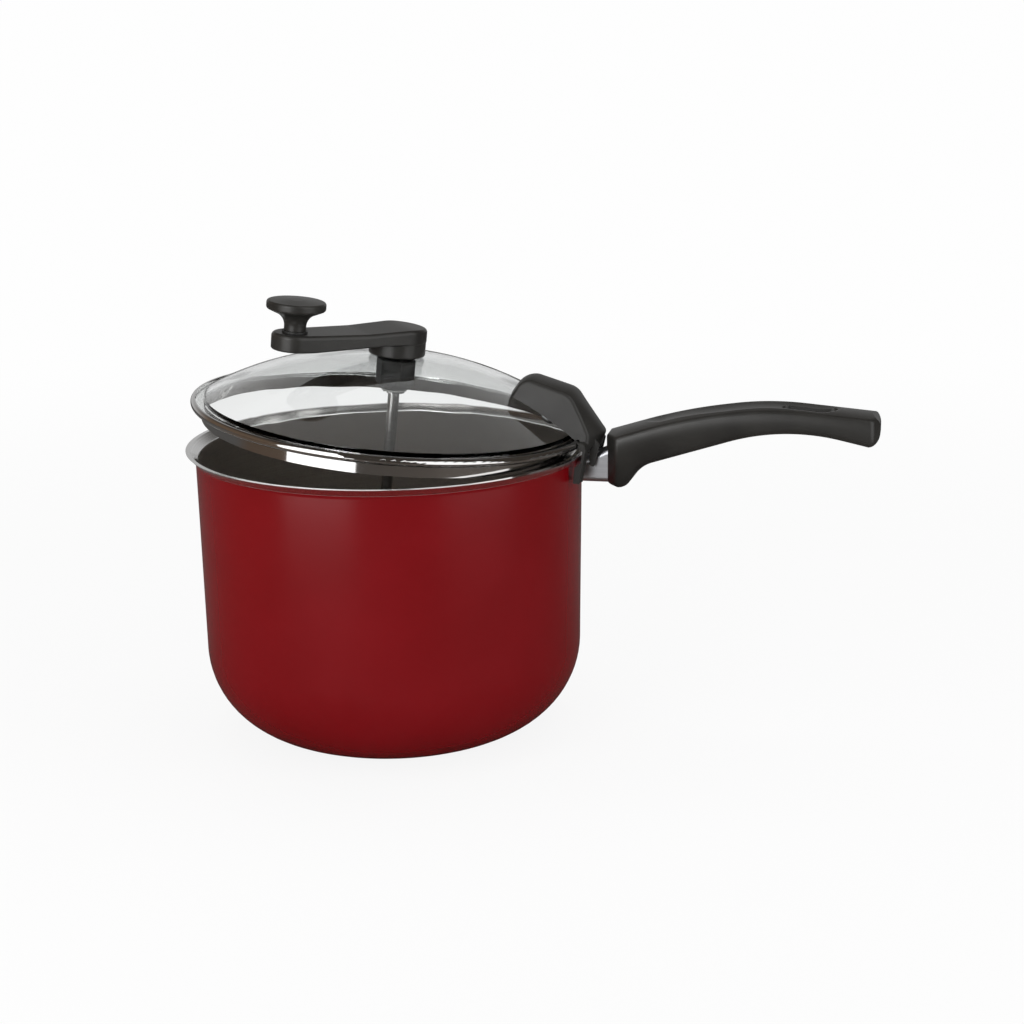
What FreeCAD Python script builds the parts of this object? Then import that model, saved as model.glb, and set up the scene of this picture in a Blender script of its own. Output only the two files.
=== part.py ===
import FreeCAD, Part
import math
import os

import Sketcher
from FreeCAD import Vector

# A stovetop popcorn popper: a deep aluminium pot with a long moulded handle, a domed glass lid that
# hooks over the rim beside the handle, and a crank through the lid that drives a wire stirrer.
#
# Frame: millimetres, +Z up, origin on the pot's axis at the underside of its base, +X towards the
# handle. The lid is drawn level, in a frame of its own at the middle of its steel band, and its
# placement then rocks it ajar. The crank and its knob are drawn in frames that follow the lid.

doc = FreeCAD.newDocument("popcorn_popper")
sheet = doc.addObject("Spreadsheet::Sheet", "dims")

SIZES = {
    # pot
    "pot_height": 154.9, "pot_inner_radius": 100.0, "pot_wall": 1.8, "pot_base": 3.0,
    "pot_taper": 2.0, "pot_corner": 48.0, "lip_height": 4.9, "lip_flare": 5.0, "lip_land": 2.3,
    "base_ring": 1.0,
    # neck between pot and handle
    "neck_half_width": 7.5, "neck_corner": 2.6, "guard_sheet": 0.8, "weld_gap": 0.05,
    "stud_half_width": 5.0, "stud_foot": 3.0,
    # handle
    "nose_half": 6.5, "shoulder_half": 14.4, "waist_half": 12.9, "tail_half": 11.9, "end_half": 6.0,
    "grip_rise_radius": 270.0, "grip_crest_radius": 160.0, "crown_slope": 0.42, "crown_radius": 42.0,
    "lug_radius": 7.0, "heel_radius": 16.0, "belly_radius": 108.0, "edge_round": 1.8,
    "belly_round": 3.0, "nose_round": 4.0, "end_round": 6.5, "socket_gap": 0.2, "hang_half": 4.0,
    "thumb_half": 10.5, "thumb_depth": 2.4, "thumb_slope": 0.25, "thumb_radius": 40.0,
    "thumb_fade": 10.0,
    # screw under the handle
    "screw_radius": 2.0, "screw_head": 3.4, "screw_head_height": 2.4, "screw_gap": 0.02,
    "washer_thick": 0.9,
    # how the lid sits: level and seated it is closed, and it rocks about the pivot
    "lid_tilt": 5.95, "seat_gap": 0.05,
    # glass lid and steel band
    "dome_radius": 190.0, "dome_foot": 3.755, "glass_thick": 3.2, "flange_gap": 1.4,
    "flange_play": 0.07, "glass_hole": 8.2, "band_half": 2.0, "band_sheet": 0.6,
    "skirt_bottom": -8.3, "band_round": 1.9,
    # lid clip
    "clip_crown_full": 15.0, "clip_reach": 22.0, "cheek_top": 10.8, "cheek_foot": 20.2,
    "cheek_top_z": 28.0, "clip_ledge": 1.8, "clip_leg": 21.0, "prong_bottom": -19.4,
    "prong_gap": 15.0, "fork_half": 8.4, "tab_half": 10.8, "clip_wall": 3.2, "clip_ridge": 2.2,
    "clip_clear": 0.4, "clip_boss": 5.5, "clip_screw_radius": 2.0, "clip_pad": 0.6,
    # crank
    "crank_turn": 224.0, "arm_length": 60.0, "hub_radius": 15.0, "arm_end_radius": 11.7,
    "collar_radius": 14.8, "shaft_radius": 3.0, "running_gap": 0.05, "arm_round": 2.0,
    "arm_web": 3.0, "arm_rib": 2.0,
    # bushing through the glass
    "bushing_radius": 8.0, "bushing_flange": 11.0, "flange_thick": 2.0, "bushing_foot_drop": 18.9,
    "nut_flats": 18.0, "nut_height": 12.0, "gasket_thick": 0.7, "lower_gasket_thick": 0.9,
    "wear_washer_thick": 0.7,
    # stirrer
    "stirrer_floor_gap": 1.0, "wire_radius": 1.6, "wire_height": 5.6, "stirrer_hub": 8.0,
    "stirrer_hub_height": 13.0,
    # knob
    "knob_radius": 15.1, "knob_neck": 5.6, "spindle_radius": 2.5, "knob_washer_thick": 1.0,
}

# how far each of these lies beyond the inside of the pot's wall
BEYOND_WALL = {
    "stud_reach": 29.0, "nose_x": 17.0, "shoulder_x": 22.8, "waist_x": 100.0, "tail_x": 152.0,
    "end_x": 155.4, "grip_rise_x": 56.2, "grip_crest_x": 99.1, "lug_end_x": 27.7, "heel_x": 36.6,
    "belly_x": 108.0, "hang_start": 106.0, "hang_end": 134.0, "thumb_start": 35.0,
    "thumb_end": 137.0, "screw_x": 22.6, "pivot_x": 37.1, "dome_edge": -1.8,
    "band_radius": 5.2, "band_lip": 2.9, "skirt_radius": -0.8, "prong_inner": 2.7,
    "clip_screw_x": -15.0, "stirrer_reach": -46.0,
}

# how far each of these lies above the pot's rim
ABOVE_RIM = {
    "neck_bottom": -16.1, "neck_top_wall": -5.7, "neck_top_grip": 1.4, "stud_bottom": -11.5,
    "stud_top": -6.7, "grip_start_z": 7.6, "grip_rise_z": 21.9, "grip_crest_z": 28.1,
    "grip_end_z": 22.6, "lug_bottom": -17.2, "heel_z": -5.2, "belly_z": 17.0, "belly_end_z": 3.6,
    "screw_tip": -7.5, "screw_seat": -13.6, "pivot_z": -10.1,
}

# how far each of these lies above the top of the glass
ABOVE_DOME = {
    "arm_top_end": 13.1, "arm_top_hub": 15.2, "arm_bottom_end": 4.4, "arm_bottom_hub": 7.1,
    "collar_bottom": 0.0, "knob_top": 29.5, "knob_under": 25.1,
}

CELLS = {**SIZES, **BEYOND_WALL, **ABOVE_RIM, **ABOVE_DOME}


class Size:
    """A size of the model: its value now, and the expression that ties it to the sheet."""

    def __init__(self, value, text):
        self.value = float(value)
        self.text = text

    def __add__(self, other):
        other = size(other)
        return Size(self.value + other.value, f"({self.text} + {other.text})")

    def __sub__(self, other):
        other = size(other)
        return Size(self.value - other.value, f"({self.text} - {other.text})")

    def __mul__(self, other):
        other = size(other)
        return Size(self.value * other.value, f"({self.text} * {other.text})")

    def __truediv__(self, other):
        other = size(other)
        return Size(self.value / other.value, f"({self.text} / {other.text})")

    def __radd__(self, other):
        return size(other) + self

    def __rsub__(self, other):
        return size(other) - self

    def __rmul__(self, other):
        return size(other) * self

    def __neg__(self):
        return Size(-self.value, f"(0 - {self.text})")

    def root(self):
        return Size(math.sqrt(self.value), f"sqrt({self.text})")

    def arcsine(self):
        return Size(math.degrees(math.asin(self.value)), f"asin({self.text})")


def size(number):
    return number if isinstance(number, Size) else Size(number, repr(float(number)))


class Sheet:
    """Reads the spreadsheet's cells by their aliases, each from where it is measured."""

    def __getattr__(self, alias):
        cell = Size(CELLS[alias], f"dims.{alias}")
        if alias in BEYOND_WALL:
            return self.pot_inner_radius + cell
        if alias in ABOVE_RIM:
            return self.pot_height + cell
        if alias in ABOVE_DOME:
            return self.dome_top + cell
        return cell

    @property
    def dome_top(self):
        """Height of the dome's top over its foot, which the glass's rim carries."""
        ball, edge = self.dome_radius, self.dome_edge
        return self.dome_foot + ball - (ball * ball - edge * edge).root()

    @property
    def bushing_foot(self):
        return self.dome_top - self.bushing_foot_drop

    @property
    def flange_outer(self):
        return self.band_radius - self.band_sheet - self.flange_gap

    @property
    def flange_top(self):
        return self.band_half - self.band_sheet - self.flange_play

    @property
    def flange_bottom(self):
        return -self.flange_top


d = Sheet()


def fill_sheet():
    for row, (alias, value) in enumerate(CELLS.items(), start=1):
        sheet.set(f"A{row}", alias)
        sheet.set(f"B{row}", str(value))
        sheet.setAlias(f"B{row}", alias)
    doc.recompute()


# ---------------------------------------------------------------------------------------------
# Frames
# ---------------------------------------------------------------------------------------------

def frame(x, y, z, axis=(0, 0, 1), angle=0):
    x, y, z, angle = size(x), size(y), size(z), size(angle)
    turn = f"rotation(vector({axis[0]}; {axis[1]}; {axis[2]}); {angle.text})"
    return f"placement(vector({x.text}; {y.text}; {z.text}); {turn})"


def dome_height(radius, drop=0):
    """Height, in the lid's frame, of the dome's outer surface less a drop along its normal."""
    ball = d.dome_radius - drop
    return d.dome_top - d.dome_radius + (ball * ball - radius * radius).root()


closed_height = d.pot_height + d.seat_gap + d.band_half
screw_slope = (d.clip_screw_x / d.dome_radius).arcsine()
# the flange of the bushing rests on a gasket on the glass, and the nut draws another up from below
bushing_seat = dome_height(d.glass_hole) + d.gasket_thick + 0.03
nut_top = dome_height(d.nut_flats / 2 + 0.6, d.glass_thick) - d.lower_gasket_thick - 0.03
arm_ceiling = bushing_seat + d.flange_thick + d.wear_washer_thick + 0.15

POT = frame(0, 0, 0)
LID = (frame(d.pivot_x, 0, d.pivot_z, (0, 1, 0), d.lid_tilt) + " * "
       + frame(-d.pivot_x, 0, closed_height - d.pivot_z))
CRANK = LID + " * " + frame(0, 0, 0, (0, 0, 1), d.crank_turn)
KNOB = CRANK + " * " + frame(d.arm_length, 0, 0)
CLIP_SCREW = LID + " * " + frame(d.clip_screw_x, 0, dome_height(d.clip_screw_x), (0, 1, 0), screw_slope)


# ---------------------------------------------------------------------------------------------
# Sketch and feature helpers
# ---------------------------------------------------------------------------------------------

def new_body(label, place=POT):
    body = doc.addObject("PartDesign::Body", label)
    body.Label = label
    body.setExpression("Placement", place)
    return body


def new_sketch(body, role, name, offset=None):
    """A sketch on one of the body's own origin planes; an offset is a frame within that plane."""
    plane = [item for item in body.Origin.OriginFeatures if item.Role == role][0]
    sketch = body.newObject("Sketcher::SketchObject", f"{body.Label}_{name}")
    sketch.AttachmentSupport = (plane, [""])
    sketch.MapMode = "FlatFace"
    if offset:
        sketch.setExpression("AttachmentOffset", offset)
    return sketch


def fix_point(sketch, geometry, end, x, y):
    """Ties one point of a sketch to its origin by two dimensions."""
    for kind, value in (("DistanceX", x), ("DistanceY", y)):
        index = sketch.addConstraint(Sketcher.Constraint(kind, -1, 1, geometry, end, value.value))
        sketch.setExpression(f"Constraints[{index}]", value.text)


def toward(start, end, length):
    step = end - start
    return start + step * (length / step.Length)


def draw(sketch, corners, closed=True):
    """Lines from corner to corner; a corner given as (x, y, radius) is rounded by a tangent arc."""
    corners = [[size(part) for part in corner] for corner in corners]
    count = len(corners)
    points = [Vector(corner[0].value, corner[1].value, 0) for corner in corners]
    leave, arrive, arcs = list(points), list(points), {}
    for i, corner in enumerate(corners):
        if len(corner) == 3:
            before, after = points[i - 1], points[(i + 1) % count]
            half = (before - points[i]).getAngle(after - points[i]) / 2
            reach = corner[2].value / math.tan(half)
            arrive[i] = toward(points[i], before, reach)
            leave[i] = toward(points[i], after, reach)
            middle = toward(arrive[i], leave[i], (leave[i] - arrive[i]).Length / 2)
            centre = toward(points[i], middle, corner[2].value / math.sin(half))
            arcs[i] = (centre, toward(centre, points[i], corner[2].value))
    lines = []
    for i in range(count if closed else count - 1):
        segment = Part.LineSegment(leave[i], arrive[(i + 1) % count])
        lines.append(sketch.addGeometry(segment, False))
    for i, corner in enumerate(corners):
        before = lines[i - 1] if closed or i > 0 else None
        after = lines[i] if i < len(lines) else None
        if i in arcs:
            round_corner(sketch, before, after, arrive[i], leave[i], arcs[i][1], points[i], corner)
        elif before is None:
            fix_point(sketch, after, 1, corner[0], corner[1])
        else:
            fix_point(sketch, before, 2, corner[0], corner[1])
            if after is not None:
                sketch.addConstraint(Sketcher.Constraint("Coincident", before, 2, after, 1))


def round_corner(sketch, before, after, start, end, middle, point, corner):
    """The arc between two lines, and the corner point where the lines would meet."""
    arc = sketch.addGeometry(Part.Arc(start, middle, end), False)
    first = 1 if (sketch.getPoint(arc, 1) - start).Length < (sketch.getPoint(arc, 2) - start).Length else 2
    sketch.addConstraint(Sketcher.Constraint("Tangent", before, 2, arc, first))
    sketch.addConstraint(Sketcher.Constraint("Tangent", after, 1, arc, 3 - first))
    mark = sketch.addGeometry(Part.Point(point), True)
    sketch.addConstraint(Sketcher.Constraint("PointOnObject", mark, 1, before))
    sketch.addConstraint(Sketcher.Constraint("PointOnObject", mark, 1, after))
    fix_point(sketch, mark, 1, corner[0], corner[1])
    index = sketch.addConstraint(Sketcher.Constraint("Radius", arc, corner[2].value))
    sketch.setExpression(f"Constraints[{index}]", corner[2].text)


def draw_circle(sketch, x, y, radius):
    x, y, radius = size(x), size(y), size(radius)
    shape = Part.Circle(Vector(x.value, y.value, 0), Vector(0, 0, 1), radius.value)
    circle = sketch.addGeometry(shape, False)
    fix_point(sketch, circle, 3, x, y)
    index = sketch.addConstraint(Sketcher.Constraint("Radius", circle, radius.value))
    sketch.setExpression(f"Constraints[{index}]", radius.text)


def box_corners(x_low, x_high, y_low, y_high):
    return [(x_low, y_low), (x_high, y_low), (x_high, y_high), (x_low, y_high)]


def finish_step(body, feature):
    """Recomputes a feature and stops the build if it failed."""
    doc.recompute()
    bad = [state for state in feature.State if state in ("Invalid", "Error")]
    if bad or feature.Shape.isNull():
        raise RuntimeError(f"{body.Label}: {feature.Name} failed: {feature.State}")
    return feature


def extrude(body, sketch, length=None, cut=False, middle=False, reverse=False):
    """A pad, or a pocket that removes material; without a length it runs through everything."""
    kind = "Pocket" if cut else "Pad"
    volume = body.Shape.Volume if body.Tip else 0
    feature = body.newObject(f"PartDesign::{kind}", f"{sketch.Label}_{kind.lower()}")
    feature.Profile = sketch
    if length is None:
        feature.Type = "ThroughAll"
    else:
        feature.setExpression("Length", size(length).text)
    if middle:
        feature.SideType = "Symmetric"
    feature.Reversed = reverse
    sketch.Visibility = False
    finish_step(body, feature)
    check_change(body, volume, cut)
    return feature


def spin(body, sketch, cut=False):
    """A full turn of a profile about the sketch's upright axis."""
    kind = "Groove" if cut else "Revolution"
    volume = body.Shape.Volume if body.Tip else 0
    feature = body.newObject(f"PartDesign::{kind}", f"{sketch.Label}_{kind.lower()}")
    feature.Profile = sketch
    feature.ReferenceAxis = (sketch, ["V_Axis"])
    feature.Angle = 360
    sketch.Visibility = False
    finish_step(body, feature)
    check_change(body, volume, cut)
    return feature


def check_change(body, volume, cut):
    change = body.Shape.Volume - volume
    if (change > -1e-3) if cut else (change < 1e-3):
        raise RuntimeError(f"{body.Label}: {body.Tip.Name} changed the volume by {change:.3f}")


def round_edges(body, radius, chosen, name="round"):
    """Fillets the edges of the body's tip that a test picks."""
    base = body.Tip
    names = [f"Edge{i}" for i, edge in enumerate(base.Shape.Edges, start=1) if chosen(edge)]
    if not names:
        raise RuntimeError(f"{body.Label}: no edge to round for {name}")
    feature = body.newObject("PartDesign::Fillet", f"{body.Label}_{name}")
    feature.Base = (base, names)
    feature.setExpression("Radius", size(radius).text)
    return finish_step(body, feature)


def middle_of(edge):
    """The edge's middle point, and how steeply the edge rises there."""
    middle = (edge.FirstParameter + edge.LastParameter) / 2
    return edge.valueAt(middle), abs(edge.tangentAt(middle).z)


def mirror_feature(body, original, role="XZ_Plane"):
    plane = [item for item in body.Origin.OriginFeatures if item.Role == role][0]
    feature = body.newObject("PartDesign::Mirrored", f"{original.Name}_mirror")
    feature.Originals = [original]
    feature.MirrorPlane = (plane, [""])
    body.Tip = feature
    return finish_step(body, feature)


def turned_part(label, corners, place=POT):
    """A piece that is one full turn of a half profile."""
    body = new_body(label, place)
    sketch = new_sketch(body, "XZ_Plane", "profile")
    draw(sketch, corners)
    spin(body, sketch)
    return body


def ring(label, inner, outer, bottom, top, place):
    return turned_part(label, box_corners(size(inner), size(outer), size(bottom), size(top)), place)


def primitive(kind, name, place=None, **sizes):
    item = doc.addObject(f"Part::{kind}", name)
    for key, value in sizes.items():
        item.setExpression(key, size(value).text)
    if place:
        item.setExpression("Placement", place)
    return item


def boolean(kind, name, base, tool):
    item = doc.addObject(f"Part::{kind}", name)
    item.Base = base
    item.Tool = tool
    return item


# ---------------------------------------------------------------------------------------------
# Pot
# ---------------------------------------------------------------------------------------------

def pot_outer(z):
    """Outer radius of the tapered wall at a height."""
    top = d.pot_inner_radius + d.pot_wall
    return top - d.pot_taper * (1 - size(z) / (d.pot_height - d.lip_height))


def make_pot():
    shoulder = d.pot_height - d.lip_height
    rim = d.pot_inner_radius + d.pot_wall + d.lip_flare
    foot = d.pot_inner_radius + d.pot_wall - d.pot_taper
    profile = [
        (0, 0), (foot, 0, d.pot_corner), (d.pot_inner_radius + d.pot_wall, shoulder, 2.0),
        (rim, d.pot_height), (rim - d.lip_land, d.pot_height),
        (d.pot_inner_radius, shoulder + 0.8, 2.0), (foot - d.pot_wall, d.pot_base, d.pot_corner - d.pot_wall),
        (0, d.pot_base),
    ]
    body = turned_part("pot_body", profile)
    rings = new_sketch(body, "XZ_Plane", "rings")
    for radius in (16, 30, 44):
        draw(rings, box_corners(size(radius), radius + d.base_ring, size(-1), size(0.4)))
    spin(body, rings, cut=True)
    return body


# ---------------------------------------------------------------------------------------------
# Neck: the welded stud and its steel sleeve
# ---------------------------------------------------------------------------------------------

def wall_cone(name):
    """The outside of the pot's wall, as a tool that fits the neck's pieces to it."""
    gap = d.weld_gap
    height = d.pot_height - d.lip_height
    return primitive("Cone", name, Radius1=pot_outer(0) + gap, Radius2=pot_outer(height) + gap, Height=height)


def make_stud():
    body = doc.addObject("PartDesign::Body", "stud_blank")
    bar = new_sketch(body, "XZ_Plane", "bar")
    draw(bar, box_corners(d.pot_inner_radius - 5, d.stud_reach, d.stud_bottom, d.stud_top))
    extrude(body, bar, d.stud_half_width * 2, middle=True)
    foot = new_sketch(body, "XZ_Plane", "foot")
    foot_end = d.pot_inner_radius + d.pot_wall + d.stud_foot
    draw(foot, box_corners(d.pot_inner_radius - 5, foot_end, d.stud_bottom - 2.6, d.stud_top - 1.2))
    extrude(body, foot, (d.neck_half_width - d.guard_sheet - 0.4) * 2, middle=True)
    hole = new_sketch(body, "XY_Plane", "hole", frame(0, 0, d.stud_bottom))
    draw_circle(hole, d.screw_x, 0, d.screw_radius + d.screw_gap)
    extrude(body, hole, d.stud_top - d.stud_bottom + 1, cut=True, reverse=True)
    return labelled(boolean("Cut", "handle_stud", body, wall_cone("stud_wall")))


def labelled(item):
    item.Label = item.Name
    item.setExpression("Placement", POT)
    return item


def guard_side(inset, start, end):
    """Side outline of the sleeve, or of its hollow when it is inset by the sheet's thickness."""
    rise = (d.neck_top_grip - d.neck_top_wall) / (d.nose_x - pot_outer(d.neck_top_wall))
    low = d.neck_top_wall - rise * (pot_outer(d.neck_top_wall) - start)
    high = d.neck_top_wall + rise * (end - pot_outer(d.neck_top_wall))
    return [(start, d.neck_bottom + inset), (end, d.neck_bottom + inset), (end, high - inset),
            (start, low - inset)]


def make_guard():
    body = doc.addObject("PartDesign::Body", "guard_blank")
    start, end = d.pot_inner_radius - 5, d.nose_x + 1.0
    side = new_sketch(body, "XZ_Plane", "side")
    draw(side, guard_side(size(0), start, end))
    extrude(body, side, d.neck_half_width * 2, middle=True)
    round_edges(body, d.neck_corner, lambda e: abs(e.tangentAt(e.FirstParameter).x) > 0.8
                and abs(abs(e.CenterOfMass.y) - d.neck_half_width.value) < 0.01)
    hollow = new_sketch(body, "XZ_Plane", "hollow")
    draw(hollow, guard_side(d.guard_sheet, start - 1, end + 1))
    inner_half = d.neck_half_width - d.guard_sheet
    extrude(body, hollow, inner_half * 2, cut=True, middle=True)
    round_edges(body, d.neck_corner - d.guard_sheet, lambda e: abs(e.tangentAt(e.FirstParameter).x) > 0.8
                and abs(abs(e.CenterOfMass.y) - inner_half.value) < 0.01, "round_inside")
    return labelled(boolean("Cut", "flame_guard", body, wall_cone("guard_wall")))


# ---------------------------------------------------------------------------------------------
# Handle and its screw
# ---------------------------------------------------------------------------------------------

def grip_path(lift=0):
    start = d.nose_x - 7
    return [(start, d.grip_start_z + lift), (d.grip_rise_x, d.grip_rise_z + lift, d.grip_rise_radius),
            (d.grip_crest_x, d.grip_crest_z + lift, d.grip_crest_radius),
            (d.end_x + 7, d.grip_end_z + lift)]


def belly_line():
    return [(d.nose_x - 12, d.lug_bottom), (d.lug_end_x, d.lug_bottom, d.lug_radius),
            (d.heel_x, d.heel_z, d.heel_radius), (d.belly_x, d.belly_z, d.belly_radius),
            (d.end_x + 12, d.belly_end_z)]


def make_handle():
    """A crowned bar swept along the grip's back, cut to its belly and plan, then hollowed."""
    body = new_body("handle")
    path = new_sketch(body, "XZ_Plane", "back")
    draw(path, grip_path(), closed=False)
    section = new_sketch(body, "YZ_Plane", "section", frame(0, 0, d.nose_x - 7))
    half = size(17)
    peak = d.crown_slope * half
    # height of the crown's corner point above its round top
    rise = d.crown_radius * ((1 + d.crown_slope * d.crown_slope).root() - 1)
    top = d.grip_start_z + rise
    draw(section, [(-half, d.grip_start_z - 60), (half, d.grip_start_z - 60), (half, top - peak),
                   (0, top, d.crown_radius), (-half, top - peak)])
    bar = body.newObject("PartDesign::AdditivePipe", "handle_bar")
    bar.Profile = section
    bar.Spine = (path, ["Edge1", "Edge2", "Edge3", "Edge4", "Edge5"])
    bar.Mode = "Fixed"
    finish_step(body, bar)

    belly = new_sketch(body, "XZ_Plane", "belly")
    line = belly_line()
    draw(belly, line + [(line[-1][0], size(60)), (line[0][0], size(60))])
    extrude(body, belly, cut=True, middle=True)

    plan = new_sketch(body, "XY_Plane", "plan")
    draw(plan, box_corners(d.nose_x - 20, d.end_x + 20, size(-40), size(40)))
    side = [(d.nose_x, d.nose_half, size(10)), (d.shoulder_x, d.shoulder_half, size(3.0)),
            (d.waist_x, d.waist_half, size(400)), (d.tail_x, d.tail_half, size(3.2)),
            (d.end_x, d.end_half, size(7))]
    draw(plan, side + [(x, -y, r) for x, y, r in reversed(side)])
    extrude(body, plan, cut=True, middle=True)
    return body


def on_line(start, end, x):
    """Height at x on the straight line between two points."""
    return start[1] + (end[1] - start[1]) * (x - start[0]) / (end[0] - start[0])


def round_end(body):
    """Rounds the grip's nose at its back, and its far end from its back down to its belly."""
    line, under = grip_path(), belly_line()
    nose = new_sketch(body, "XZ_Plane", "nose")
    behind, before = d.nose_x + 15, d.nose_x - 15
    brow = (behind, on_line(line[0], line[1], behind) + 0.4)
    draw(nose, [brow, (d.nose_x, on_line(line[0], line[1], d.nose_x) + 0.1, d.nose_round),
                (d.nose_x, d.neck_top_grip + 2), (before, d.neck_top_grip + 2), (before, brow[1] + 10),
                (behind, brow[1] + 10)])
    extrude(body, nose, cut=True, middle=True)
    inner, beyond = d.end_x - 20, d.end_x + 20
    above = on_line(line[-2], line[-1], d.end_x) + 0.1
    below = on_line(under[-2], under[-1], d.end_x) - 0.1
    cap = new_sketch(body, "XZ_Plane", "end_cap")
    back = (inner, on_line(line[-2], line[-1], inner) + 0.5)
    belly = (inner, on_line(under[-2], under[-1], inner) - 0.5)
    draw(cap, [back, (d.end_x, above, d.end_round), (d.end_x, below, d.end_round), belly,
               (inner, belly[1] - 20), (beyond, belly[1] - 20), (beyond, back[1] + 20),
               (inner, back[1] + 20)])
    extrude(body, cap, cut=True, middle=True)
    return body


def scoop_thumb(body):
    """The long shallow valley along the grip's back, faded out at both ends."""
    start, rise, crest, end = grip_path(-d.thumb_depth)
    fade = d.thumb_fade
    first, last = d.thumb_start + fade, d.thumb_end - fade
    down, up = on_line(start, rise, first), on_line(crest, end, last)
    lead = (d.thumb_start - 4, on_line(start, rise, d.thumb_start - 4) + d.thumb_depth + 1.5)
    tail = (d.thumb_end + 4, on_line(crest, end, d.thumb_end + 4) + d.thumb_depth + 1.5)
    path = new_sketch(body, "XZ_Plane", "thumb_floor")
    draw(path, [lead, (first, down, size(14)), (rise[0], rise[1], size(120)),
                (crest[0], crest[1], size(100)), (last, up, size(14)), tail], closed=False)
    section = new_sketch(body, "YZ_Plane", "thumb_section", frame(0, 0, lead[0]))
    half, slope = d.thumb_half, d.thumb_slope
    # depth of the valley's corner point below its round floor
    corner = d.thumb_radius * ((1 + slope * slope).root() - 1)
    low = lead[1] - corner
    draw(section, [(-half, low + slope * half), (0, low, d.thumb_radius - 0.1), (half, low + slope * half),
                   (half, low + 12), (-half, low + 12)])
    valley = body.newObject("PartDesign::SubtractivePipe", "thumb_valley")
    valley.Profile = section
    valley.Spine = (path, [f"Edge{i}" for i in range(1, 10)])
    valley.Mode = "Fixed"
    finish_step(body, valley)
    return body


def height_at(corners, x):
    """Height of a run of corners at an x, along the straight lines between them."""
    points = [(size(corner[0]).value, size(corner[1]).value) for corner in corners]
    for (x0, z0), (x1, z1) in zip(points, points[1:]):
        if x0 <= x <= x1:
            return z0 + (z1 - z0) * (x - x0) / (x1 - x0)
    raise ValueError(f"no height at {x}")


def grip_edges(top):
    """A test for the edges that run round the grip's top, or round its belly."""
    def chosen(edge):
        point, rise = middle_of(edge)
        across = abs(point.y) < 1 and d.nose_x.value + 0.5 < point.x < d.end_x.value - 0.5
        x = max(point.x, d.nose_x.value)
        halfway = (height_at(grip_path(), x) + height_at(belly_line(), x)) / 2
        return not across and rise < 0.9 and (point.z > halfway) == top

    return chosen


def handle_details(body):
    """Rounds the grip, then cuts the neck's socket, the hanging slot, the recess and the screw hole."""
    round_edges(body, d.belly_round, grip_edges(False), "round_belly")
    round_edges(body, d.edge_round, grip_edges(True), "round_top")
    round_end(body)
    scoop_thumb(body)
    socket = new_sketch(body, "XZ_Plane", "socket")
    gap = d.socket_gap
    reach = d.nose_x + 1.0 + gap
    draw(socket, guard_side(-gap, d.nose_x - 3, reach))
    extrude(body, socket, (d.neck_half_width + gap) * 2, cut=True, middle=True)
    tang = new_sketch(body, "XZ_Plane", "tang")
    draw(tang, box_corners(d.nose_x - 3, d.stud_reach + gap, d.stud_bottom - gap, d.stud_top + gap))
    extrude(body, tang, (d.stud_half_width + gap) * 2, cut=True, middle=True)
    hole = new_sketch(body, "XY_Plane", "screw_hole", frame(0, 0, d.lug_bottom - 1))
    draw_circle(hole, d.screw_x, 0, d.screw_radius + 0.2)
    extrude(body, hole, d.stud_bottom - d.lug_bottom + 1, cut=True, reverse=True)
    seat = new_sketch(body, "XY_Plane", "screw_seat", frame(0, 0, d.lug_bottom - 1))
    draw_circle(seat, d.screw_x, 0, d.screw_head + 0.3)
    extrude(body, seat, d.screw_seat - d.lug_bottom + 1, cut=True, reverse=True)
    slot = new_sketch(body, "XY_Plane", "hang_slot")
    slot_round = d.hang_half - 0.05
    draw(slot, [(d.hang_start, -d.hang_half, slot_round), (d.hang_end, -d.hang_half, slot_round),
                (d.hang_end, d.hang_half, slot_round), (d.hang_start, d.hang_half, slot_round)])
    extrude(body, slot, cut=True, middle=True)
    return body


def make_screw(label, place, radius, head, head_height, length, point=0.6):
    """A pan-head screw along its own +Z, with the head's underside at zero and a cross recess."""
    body = turned_part(label, [(0, -head_height), (head, -head_height, head_height * 0.6), (head, 0),
                               (radius, 0), (radius, length - point), (radius - point, length),
                               (0, length)], place)
    recess = new_sketch(body, "XY_Plane", "recess", frame(0, 0, -head_height))
    arm, width = head * 0.55, head * 0.13
    draw(recess, [(-width, -arm), (width, -arm), (width, -width), (arm, -width), (arm, width),
                  (width, width), (width, arm), (-width, arm), (-width, width), (-arm, width),
                  (-arm, -width), (-width, -width)])
    extrude(body, recess, head_height * 0.55, cut=True, reverse=True)
    return body


def make_handle_screw():
    """The screw that draws the handle onto the stud from below, and its lock washer."""
    under_head = d.screw_seat - d.washer_thick
    make_screw("handle_screw", frame(d.screw_x, 0, under_head), d.screw_radius, d.screw_head,
               d.screw_head_height, d.screw_tip - under_head)
    ring("lock_washer", d.screw_radius + 0.1, d.screw_head + 0.1, 0, d.washer_thick,
         frame(d.screw_x, 0, under_head))


# ---------------------------------------------------------------------------------------------
# Glass lid and its steel band
# ---------------------------------------------------------------------------------------------

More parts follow.
